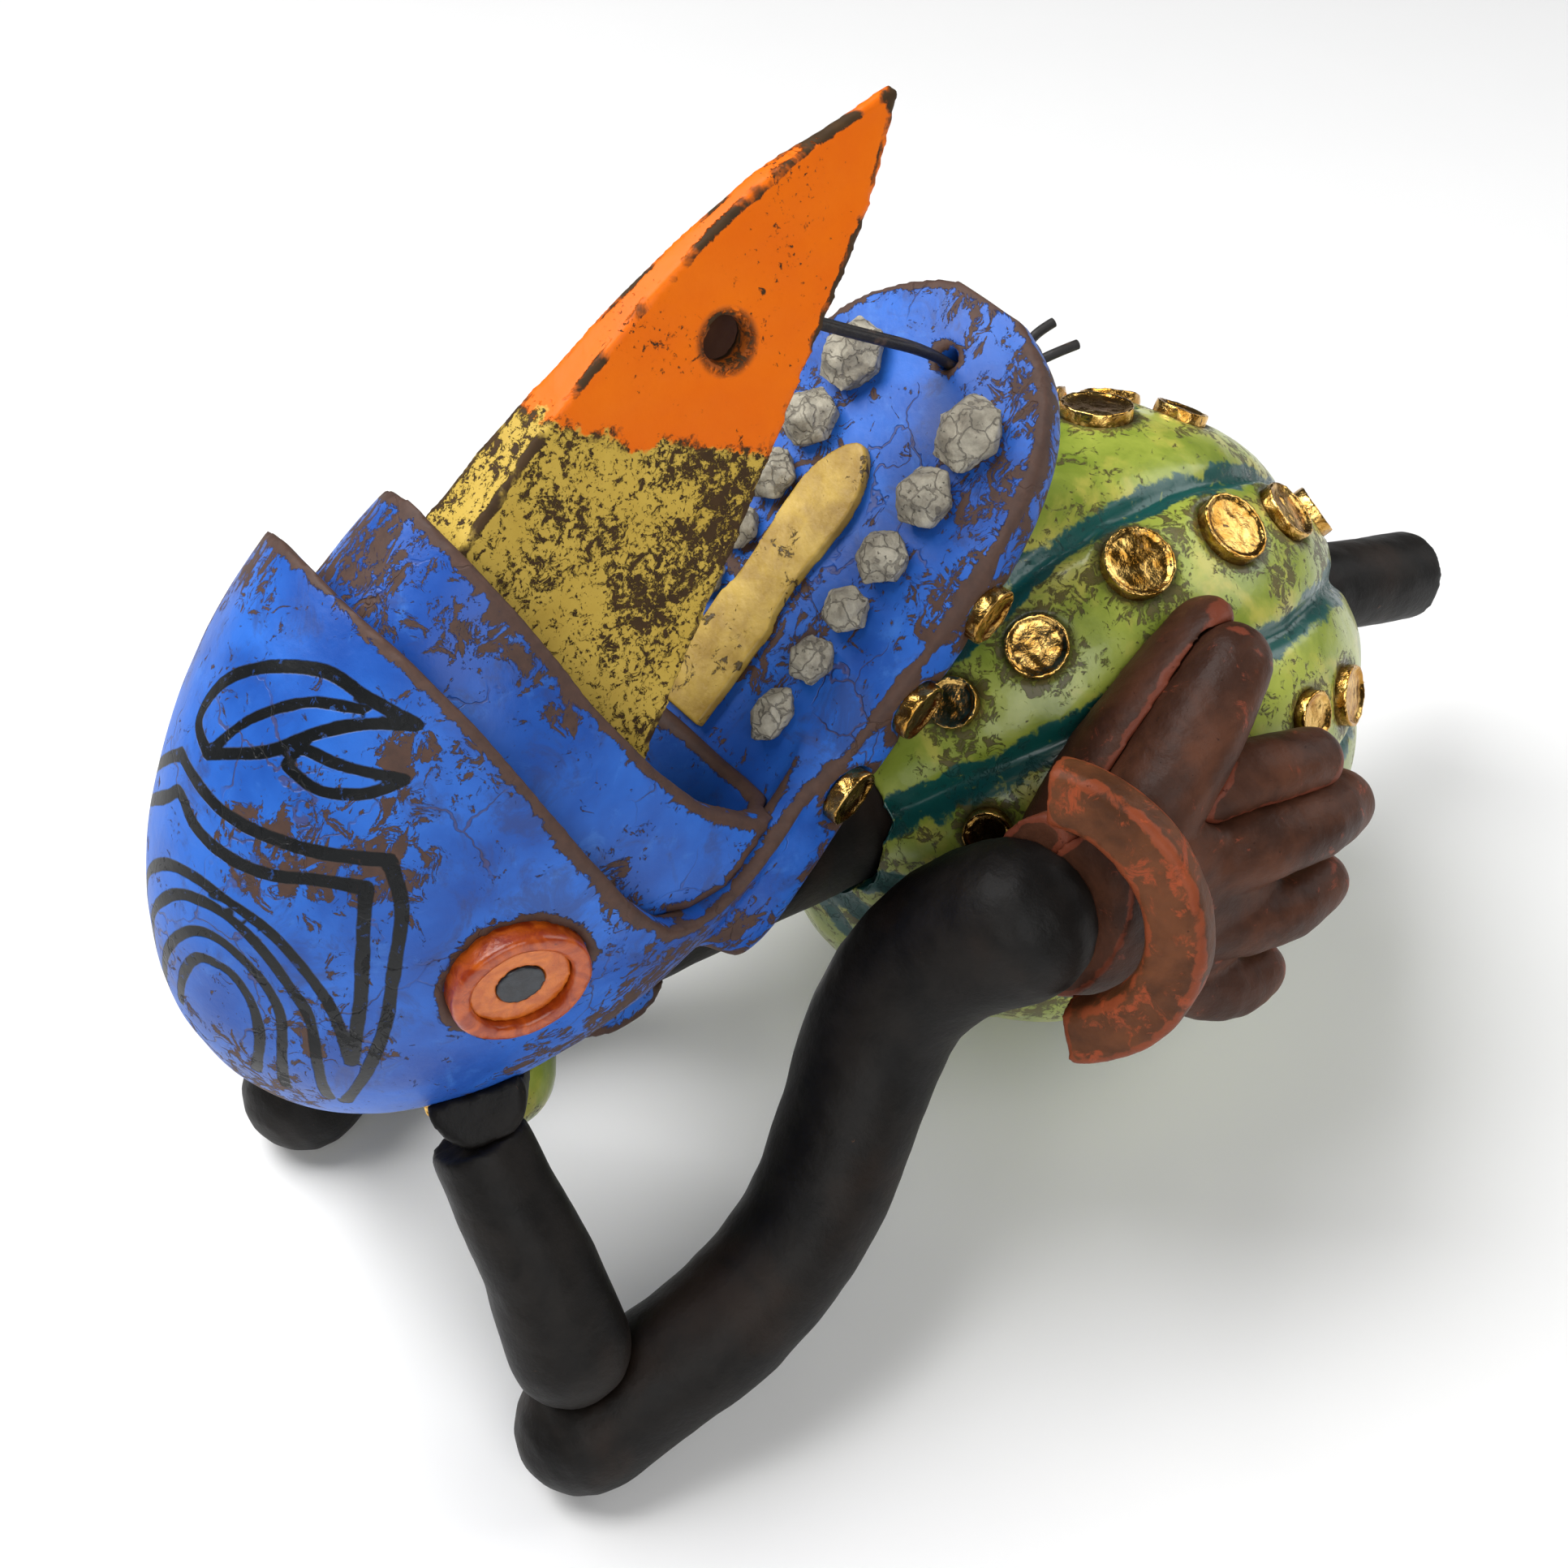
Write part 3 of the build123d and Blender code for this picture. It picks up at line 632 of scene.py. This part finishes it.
def make_gourd():
    piece = rebuilt("body_shell", 1.25, 3)
    co = places(piece)
    out = (co - GOURD_CENTRE) / GOURD_RADII
    reach = np.linalg.norm(out, axis=1)
    angle = np.abs(np.degrees(np.arctan2(out[:, 0], out[:, 2])))
    ring = np.hypot(out[:, 0], out[:, 2]) / np.maximum(reach, 1e-6)
    drift = rough(co, 45, 2, 2) * 3.0
    seam = np.min([np.abs(angle + drift - a) for a in SEAMS], axis=0)
    seam = np.radians(seam) * 72 * np.maximum(ring, 0.02)
    discs = places(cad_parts["body_discs"])
    halo = nearest(co, discs)
    outside = reach > 0.955
    clear = np.clip(halo / 4, 0, 1)
    low = np.clip(co[:, 2] / 4, 0, 1)
    groove = 2.0 * np.exp(-((seam / 2.6) ** 2)) + 1.5 * np.exp(-((seam / 8) ** 2))
    relief = rough(co, 18, 3) * 0.35 - groove * np.clip(ring * 2.2, 0, 1)
    push(piece, np.where(outside, relief * clear * low, 0))
    store(piece, "seam", seam)
    store(piece, "halo", halo)
    belongs(piece, "body_shell", material=GREEN)


def make_chest():
    piece = rebuilt("chest_bead", 0.8, 3)
    co = places(piece)
    push(piece, rough(co, 10, 3) * 0.25)
    store(piece, "seam", np.full(len(co), 20.0))
    store(piece, "halo", nearest(co, places(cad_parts["chest_discs"])))
    belongs(piece, "chest_bead", material=GREEN)


def make_discs():
    for node in ("body_discs", "chest_discs", "jaw_discs_left", "jaw_discs_right"):
        piece = rebuilt(node, 0.42, 12)
        push(piece, rough(places(piece), 3.5, 3, 1) * 0.2 - 0.25)
        belongs(piece, node, material=GOLD)


def make_black():
    nodes = ["neck_tube", "tail"]
    for side in ("left", "right"):
        nodes += [f"shoulder_{side}", f"upper_arm_{side}", f"forearm_{side}"]
    for i, node in enumerate(nodes):
        piece = rebuilt(node, 1.0, 8)
        co = places(piece)
        push(piece, rough(co, 14, 3, i) * 0.35 * np.clip(co[:, 2] / 3, 0, 1))
        belongs(piece, node, material=BLACK)


def make_hands():
    kinds = (("cuff", 4, CUFF_BROWN), ("hand", 5, HAND_BROWN), ("palm_pad", 5, HAND_BROWN))
    for side in ("left", "right"):
        for node, relax, material in kinds:
            piece = rebuilt(f"{node}_{side}", 0.8, relax)
            push(piece, rough(places(piece), 11, 3, relax) * 0.35)
            store_edges(piece)
            belongs(piece, f"{node}_{side}", material=material)


def make_mouth():
    tongue = rebuilt("tongue", 0.5, 3)
    push(tongue, rough(places(tongue), 24, 2, 2) * 0.25)
    belongs(tongue, "tongue", material=ochre_paint())
    for side in ("left", "right"):
        for i in range(1, 7):
            node = f"tooth_{i}_{side}"
            piece = rebuilt(node, 0.45, 2)
            co = places(piece)
            push(piece, rough(co, 4.5, 3, i) * 0.55 + rough(co, 1.4, 2, i) * 0.12)
            belongs(piece, node, material=STONE)


def make_eyes():
    red = enamel("red_enamel", (0.28, 0.030, 0.003), (0.52, 0.095, 0.006), (0.12, 0.02, 0.01), 0.28)
    orange = enamel("orange_enamel", (0.48, 0.095, 0.006), (0.66, 0.175, 0.018), (0.35, 0.08, 0.03), 0.30)
    slate = enamel("slate_enamel", (0.004, 0.006, 0.010), (0.014, 0.020, 0.028), (0.06, 0.03, 0.02), 0.3)
    paints = (
        ("eye_ring", "red_orange_enamel", red),
        ("eye_iris", "orange_enamel", orange),
        ("eye_pupil", "dark_slate_enamel", slate),
    )
    for part, slot, material in paints:
        for side in ("left", "right"):
            piece = rebuilt(f"{part}_{side}", 0.4, 4)
            push(piece, rough(places(piece), 5, 3) * 0.15)
            belongs(piece, f"{part}_{side}", material=material)


# ---- Tie cord ----
STRAND_ROUTE = ((213, 101.0), (217.5, 85), (222.5, 67), (227.8, 49), (229.0, 33), (233.5, 24.5))
STRAND_X = 1.25
STRAND_DIAMETER = 2.0


def curve_piece(name, routes, radius, closed=()):
    """NURBS lines through each route's points in metres, round if the radius isn't 0."""
    curve = bpy.data.curves.new(name, "CURVE")
    curve.dimensions = "3D"
    curve.resolution_u = 16
    curve.bevel_depth = radius
    curve.bevel_resolution = 4
    curve.use_fill_caps = radius > 0
    for i, route in enumerate(routes):
        spline = curve.splines.new("NURBS")
        spline.points.add(len(route) - 1)
        for point, place in zip(spline.points, route):
            point.co = (*place, 1)
        spline.order_u = 3
        if i in closed:
            spline.use_cyclic_u = True
        else:
            spline.use_endpoint_u = True
    piece = bpy.data.objects.new(name, curve)
    bpy.context.scene.collection.objects.link(piece)
    return piece


def as_mesh(piece, name):
    """The curve as a mesh piece; the curve goes."""
    graph = bpy.context.evaluated_depsgraph_get()
    mesh = bpy.data.meshes.new_from_object(piece.evaluated_get(graph))
    mesh.materials.clear()
    made = bpy.data.objects.new(name, mesh)
    bpy.context.scene.collection.objects.link(made)
    bpy.data.objects.remove(piece)
    if mesh.polygons:
        mesh.shade_smooth()
    return made


def make_knot(material):
    """An overhand knot of the same lace with its two ends."""
    centre = np.array([0.0, 239.6, 23.6])
    loop = []
    for i in range(18):
        t = 2 * math.pi * i / 18
        across = math.sin(t) + 2 * math.sin(2 * t)
        along = math.cos(t) - 2 * math.cos(2 * t)
        loop.append(centre + np.array([across * 1.15, along * 1.0, -math.sin(3 * t) * 1.9]))
    ends = (
        ((1.0, 238, 21), (2.6, 241, 20.5), (3.9, 244.5, 18.8), (4.6, 247.6, 16.4)),
        ((-1.0, 238, 21), (-2.0, 241.5, 21.4), (-2.5, 245, 20.6), (-2.0, 248.6, 18.6)),
        ((-2.2, 233.5, 24.2), (-3.4, 236, 21.4), (-1.4, 238.6, 18.4), (1.8, 238.2, 18.2), (3.3, 236.2, 21.2)),
    )
    routes = [from_head(loop) * MM] + [from_head(end) * MM for end in ends]
    knot = as_mesh(curve_piece("knot_line", routes, LACE_RADIUS * MM, closed=(0,)), "look_cord_knot")
    return belongs(knot, "cord_knot", material=material)


def make_cord():
    material = leather()
    knot = make_knot(material)
    for side, x in (("left", STRAND_X), ("right", -STRAND_X)):
        route = from_head([(x, s, h) for s, h in STRAND_ROUTE]) * MM
        line = as_mesh(curve_piece(f"line_{side}", [route], 0.0), f"path_{side}")
        bpy.data.objects.remove(line)
        node = f"tie_strand_{side}"
        strand = as_mesh(curve_piece(f"tube_{side}", [route], STRAND_DIAMETER / 2 * MM), "look_" + node)
        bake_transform(strand)
        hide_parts(node)
        strand.data.materials.append(material)


def make_dowel():
    """The CAD rod shows as it is, in wood."""
    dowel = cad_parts["hinge_dowel"]
    dowel.data.materials.clear()
    dowel.data.materials.append(dowel_wood())


# ---- Stage ----
def make_stage():
    floor = bpy.data.meshes.new("floor")
    half = 6.0
    corners = [(-half, -half, 0), (half, -half, 0), (half, half, 0), (-half, half, 0)]
    floor.from_pydata(corners, [], [(0, 1, 2, 3)])
    piece = bpy.data.objects.new("floor", floor)
    bpy.context.scene.collection.objects.link(piece)
    look = Look("pale_floor")
    tone = look.blend(look.noise(120, 3), (0.90, 0.90, 0.90), (0.93, 0.93, 0.93))
    floor.materials.append(look.finish(tone, 0.55))


def area_light(name, place, size, power, colour=(1, 1, 1)):
    light = bpy.data.lights.new(name, "AREA")
    light.shape = "SQUARE"
    light.size = size
    light.energy = power
    light.color = colour
    lamp = bpy.data.objects.new(name, light)
    lamp.location = place
    lamp.rotation_euler = (Vector(LIGHT_AIM) - Vector(place)).to_track_quat("-Z", "Y").to_euler()
    bpy.context.scene.collection.objects.link(lamp)


def make_lights():
    world = bpy.data.worlds.new("studio")
    bpy.context.scene.world = world
    world.use_nodes = True
    tree = world.node_tree
    sky = tree.nodes.new("ShaderNodeTexCoord")
    split = tree.nodes.new("ShaderNodeSeparateXYZ")
    tree.links.new(sky.outputs["Generated"], split.inputs[0])
    ramp = tree.nodes.new("ShaderNodeMapRange")
    tree.links.new(split.outputs["Z"], ramp.inputs["Value"])
    ramp.inputs["From Min"].default_value = -0.1
    ramp.inputs["From Max"].default_value = 0.7
    ramp.inputs["To Min"].default_value = 0.80
    ramp.inputs["To Max"].default_value = 1.20
    tree.links.new(ramp.outputs[0], tree.nodes["Background"].inputs["Strength"])
    area_light("key", (-0.50, -0.42, 1.20), 1.0, 23)
    area_light("fill", (0.95, -0.50, 0.75), 0.9, 8)
    area_light("back", (0.35, 0.95, 0.75), 0.8, 5)


def make_camera():
    camera = bpy.data.cameras.new("camera")
    camera.lens = CAMERA_LENS
    camera.sensor_width = CAMERA_SENSOR
    camera.clip_start = 0.01
    seat = bpy.data.objects.new("camera", camera)
    ahead = Vector(CAMERA_AHEAD).normalized()
    right = ahead.cross(Vector((0, 0, 1))).normalized()
    up = right.cross(ahead)
    turn = Matrix((right, up, -ahead)).transposed().to_4x4()
    seat.matrix_world = Matrix.Translation(CAMERA_PLACE) @ turn
    bpy.context.scene.collection.objects.link(seat)
    bpy.context.scene.camera = seat


make_head()
make_collar()
make_beak()
make_gourd()
make_chest()
make_discs()
make_black()
make_hands()
make_mouth()
make_eyes()
make_cord()
make_dowel()
make_stage()
make_lights()
make_camera()
bpy.context.scene.view_settings.view_transform = "Standard"

bpy.context.view_layer.update()
